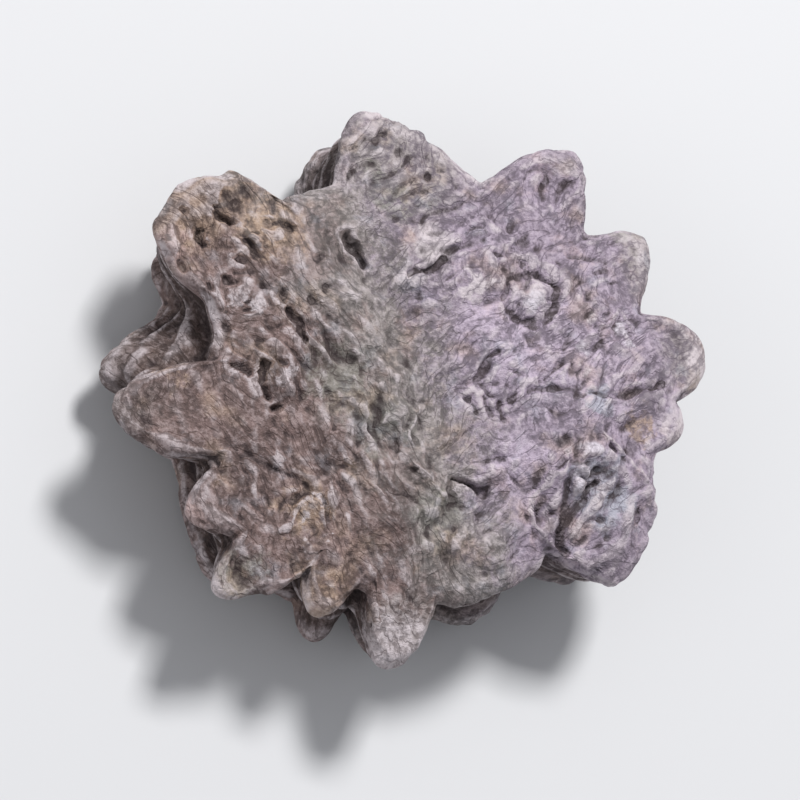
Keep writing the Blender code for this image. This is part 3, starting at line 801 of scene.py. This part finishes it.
def seed_coat(colours, sizes):
    """The dry, dull coat: brown, grey and mauve, with rubbed pale edges, painted highlights on raised
    places and grain tops, and painted shade in the creases, hollows and on the belt.
    """
    material = bpy.data.materials.new("seed_coat")
    material.use_nodes = True
    nodes = Nodes(material.node_tree)
    shader = material.node_tree.nodes["Principled BSDF"]
    local = nodes.add("ShaderNodeTexCoord").outputs["Object"]
    place = nodes.add("ShaderNodeMapping", {"Vector": local, "Scale": (1000.0,) * 3}).outputs["Vector"]
    grain = nodes.add("ShaderNodeGroup", node_tree=grain_group())
    nodes.tree.links.new(place, grain.inputs["Place"])
    mottle = grain.outputs["Mottle"]

    torn = shifted(nodes, shifted(nodes, place, 0.40, 2.0, 1.3), 2.2, 3.0, 0.7)
    frayed = shifted(nodes, place, 1.1, 4.0, 0.6)
    past = past_middle(nodes, torn)
    patchy = nodes.range(mottle, 0.25, 0.60, 0.45, 1.0)
    colour = nodes.mix(nodes.range(past, -5.5, -0.5), tuple(colours.brown), tuple(colours.grey))
    high = nodes.add("ShaderNodeSeparateXYZ", {"Vector": torn}).outputs["Z"]
    bloom = nodes.math("MULTIPLY", nodes.range(past, -0.5, 4.5), nodes.range(high, 2.5, 5.0, 0.35, 1.0))
    colour = nodes.mix(bloom, colour, tuple(colours.mauve))
    for spots, share, patch_colour in (
        (GREY_SPOTS, GREY_SHARE, colours.grey),
        (BROWN_SPOTS, BROWN_SHARE, colours.brown),
        (LILAC_SPOTS, LILAC_SHARE, colours.lilac),
        (BLUE_SPOTS, BLUE_SHARE, colours.blue_grey),
        (TAN_SPOTS, TAN_SHARE, colours.tan),
        (OLIVE_SPOTS, OLIVE_SHARE, colours.olive),
        (PINK_SPOTS, PINK_SHARE, colours.pink),
    ):
        mask = nodes.math("MULTIPLY", spots_mask(nodes, frayed, spots), patchy)
        colour = nodes.mix(nodes.math("MULTIPLY", mask, share), colour, tuple(patch_colour))
    speckle = nodes.noise(place, SPECKLE_SCALE, 5.0, 0.65)
    warm = nodes.range(speckle, 0.54, 0.72, 0.0, SPECKLE_SHARE)
    colour = nodes.mix(warm, colour, tuple(colours.pink))
    cold = nodes.range(speckle, 0.46, 0.28, 0.0, SPECKLE_SHARE)
    colour = nodes.mix(cold, colour, tuple(colours.blue_grey))
    stain = nodes.range(nodes.noise(place, STAIN_SCALE, 4.0, 0.6), 0.53, 0.70, 0.0, STAIN_SHARE)
    colour = nodes.mix(stain, colour, tuple(colours.tan))
    # The belt's middle gets a darker brown: partly its own colour, partly painted shade
    belt = nodes.math("MULTIPLY", nodes.attribute("wall"), BELT_BROWN_AND_SHADE_SHARE)
    colour = nodes.mix(belt, colour, tuple(colours.belt_brown_and_shade))

    light = nodes.range(mottle, 0.12, 0.88, MOTTLE_DARK, MOTTLE_LIGHT)
    shade = nodes.add("ShaderNodeCombineColor", {0: light, 1: light, 2: light}).outputs[0]
    colour = nodes.mix(1.0, colour, shade, blend="MULTIPLY")

    near = nodes.attribute("near_height")
    wide = nodes.attribute("wide_height")
    rim = nodes.attribute("rim")
    # Painted highlight: places that stand above their surroundings are lightened with the pale colour, less
    # so near the rim. The rubbed edges and the pale patches below are wear, and share that colour.
    raised = nodes.math("MAXIMUM", nodes.range(near, 0.3, 2.2), nodes.range(wide, 0.5, 2.5, 0.0, 0.5))
    raised = nodes.math("MULTIPLY", raised, nodes.range(mottle, 0.25, 0.75, 0.20, 0.70))
    raised = nodes.math("MULTIPLY", raised, nodes.range(rim, 0.2, 0.8, 1.0, 0.3))
    edge = nodes.range(nodes.noise(place, WORN_EDGE_SCALE), 0.50, 0.66)
    edge = nodes.math("MULTIPLY", nodes.range(rim, 0.6, 0.95), edge)
    worn = nodes.math("MAXIMUM", edge, spots_mask(nodes, frayed, PALE_SPOTS))
    worn = nodes.math("MULTIPLY", worn, nodes.range(mottle, 0.2, 0.6, 0.35, 0.90))
    colour = nodes.mix(nodes.math("MAXIMUM", raised, worn), colour, tuple(colours.pale))
    # Painted highlights: pale on the highest points of the grain
    highlight_flecks = nodes.range(grain.outputs["Height"], 0.60, 0.78, 0.0, HIGHLIGHT_FLECK_SHARE)
    colour = nodes.mix(highlight_flecks, colour, tuple(colours.pale))
    # Painted shade: the dark colour goes into creases and small pits, which lie below their near
    # surroundings, and into the broad hollows and the bottoms of the notches
    crease_shade = nodes.math("MULTIPLY", nodes.range(near, -0.3, -2.4), nodes.range(mottle, 0.25, 0.8, 0.85, 0.55))
    hollow = nodes.range(wide, -0.4, -2.4, 0.0, 0.6)
    colour = nodes.mix(nodes.math("MAXIMUM", crease_shade, hollow), colour, tuple(colours.dark))
    # Painted highlights, with a sharper edge, on the knob and the beads of the broad tooth
    bright = spots_mask(nodes, shifted(nodes, place, 1.6, 3.0, 0.16), HIGHLIGHT_SPOTS)
    bright = nodes.math("MULTIPLY", bright, nodes.range(mottle, 0.25, 0.65, 0.35, 0.85))
    colour = nodes.mix(bright, colour, tuple(colours.bright))
    nodes.tree.links.new(colour, shader.inputs["Base Color"])

    roughness = nodes.range(mottle, 0.2, 0.8, 0.85, 0.50)
    nodes.tree.links.new(roughness, shader.inputs["Roughness"])
    shader.inputs["Specular IOR Level"].default_value = COAT_SPECULAR
    weak_spots = [((*at, WEAK_GRAIN_HEIGHT), radius) for at, radius in WEAK_GRAIN_PLACES]
    strength = nodes.range(spots_mask(nodes, place, weak_spots), 0.0, 1.0, 1.0, WEAK_GRAIN_SHARE)
    height = nodes.math("MULTIPLY", grain.outputs["Height"], strength)
    bump = nodes.add("ShaderNodeBump", {"Height": height, "Distance": sizes.grain, "Strength": 1.0})
    nodes.tree.links.new(bump.outputs["Normal"], shader.inputs["Normal"])
    return material


class GACSEED_OT_seed(bpy.types.Operator):
    """Build the seed with its toothed rim, relief and coat"""

    bl_idname = "gac_seed.seed"
    bl_label = "Seed"

    def execute(self, context):
        noise.seed_set(NOISE_SEED)
        sizes = context.scene.gac_seed_sizes
        block = seed_shape(sizes)
        mesh = bpy.data.meshes.new("seed")
        block.to_mesh(mesh)
        block.free()
        mesh.shade_smooth()
        add_heights(mesh, "near_height", NEAR_ROUNDS, NEAR_UNIT)
        add_heights(mesh, "wide_height", WIDE_ROUNDS, WIDE_UNIT)
        mesh.materials.append(seed_coat(context.scene.gac_seed_colours, sizes))
        seed = bpy.data.objects.new("seed", mesh)
        context.scene.collection.objects.link(seed)
        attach(seed, "root")
        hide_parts("gac_seed")
        return {"FINISHED"}


def floor_material(colour):
    """Plain pale floor."""
    material = bpy.data.materials.new("floor")
    material.use_nodes = True
    shader = material.node_tree.nodes["Principled BSDF"]
    shader.inputs["Base Color"].default_value = tuple(colour)
    shader.inputs["Roughness"].default_value = FLOOR_ROUGHNESS
    return material


def add_light(name, way, distance, width, power, target):
    """A square soft light that faces the target from the given way."""
    data = bpy.data.lights.new(name, "AREA")
    data.size = width
    data.energy = power
    light = bpy.data.objects.new(name, data)
    light.location = target + way.normalized() * distance
    light.rotation_mode = "QUATERNION"
    light.rotation_quaternion = way.to_track_quat("Z", "Y")
    bpy.context.scene.collection.objects.link(light)


class GACSEED_OT_stage(bpy.types.Operator):
    """Build the floor, the soft lights and the camera"""

    bl_idname = "gac_seed.stage"
    bl_label = "Stage"

    def execute(self, context):
        scene = context.scene
        low, high = CAD_BOX
        target = (low + high) / 2.0
        width = scene.gac_seed_sizes.floor_width
        bpy.ops.mesh.primitive_plane_add(size=width, location=(0.0, 0.0, 0.0))
        floor = context.object
        floor.name = "floor"
        floor.data.materials.append(floor_material(scene.gac_seed_colours.floor))

        add_light("key", KEY_WAY, KEY_DISTANCE, KEY_WIDTH, KEY_POWER, target)
        add_light("fill", FILL_WAY, FILL_DISTANCE, FILL_WIDTH, FILL_POWER, target)
        world = bpy.data.worlds.new("studio")
        world.use_nodes = True
        background = world.node_tree.nodes["Background"]
        background.inputs["Color"].default_value = SKY_COLOUR
        background.inputs["Strength"].default_value = SKY_STRENGTH
        scene.world = world
        scene.view_settings.view_transform = "Standard"

        data = bpy.data.cameras.new("camera")
        data.sensor_width = SENSOR_MM
        data.lens = SENSOR_MM * CAMERA_DISTANCE * PICTURE_SHARE / (high.x - low.x)
        data.clip_start = CAMERA_CLIP_START
        camera = bpy.data.objects.new("camera", data)
        turned = Matrix((PICTURE_RIGHT, PICTURE_UP, CAMERA_WAY)).transposed().to_4x4()
        camera.matrix_world = Matrix.Translation(target + CAMERA_WAY * CAMERA_DISTANCE) @ turned
        scene.collection.objects.link(camera)
        scene.camera = camera
        return {"FINISHED"}


class GACSEED_PT_panel(bpy.types.Panel):
    """Lists the seed's sizes and colours, and the buttons that build it"""

    bl_idname = "GACSEED_PT_panel"
    bl_label = "Gac Seed"
    bl_space_type = "VIEW_3D"
    bl_region_type = "UI"
    bl_category = "Gac Seed"

    def draw(self, context):
        layout = self.layout
        for group in (context.scene.gac_seed_sizes, context.scene.gac_seed_colours):
            for name in group.__annotations__:
                layout.prop(group, name)
        layout.operator(GACSEED_OT_seed.bl_idname)
        layout.operator(GACSEED_OT_stage.bl_idname)


CLASSES = (GacSeedSizes, GacSeedColours, GACSEED_OT_seed, GACSEED_OT_stage, GACSEED_PT_panel)


def register():
    for each in CLASSES:
        bpy.utils.register_class(each)
    bpy.types.Scene.gac_seed_sizes = PointerProperty(type=GacSeedSizes)
    bpy.types.Scene.gac_seed_colours = PointerProperty(type=GacSeedColours)


def unregister():
    del bpy.types.Scene.gac_seed_colours
    del bpy.types.Scene.gac_seed_sizes
    for each in reversed(CLASSES):
        bpy.utils.unregister_class(each)


def main():
    register()
    bpy.ops.gac_seed.seed()
    bpy.ops.gac_seed.stage()


if __name__ == "__main__":
    main()
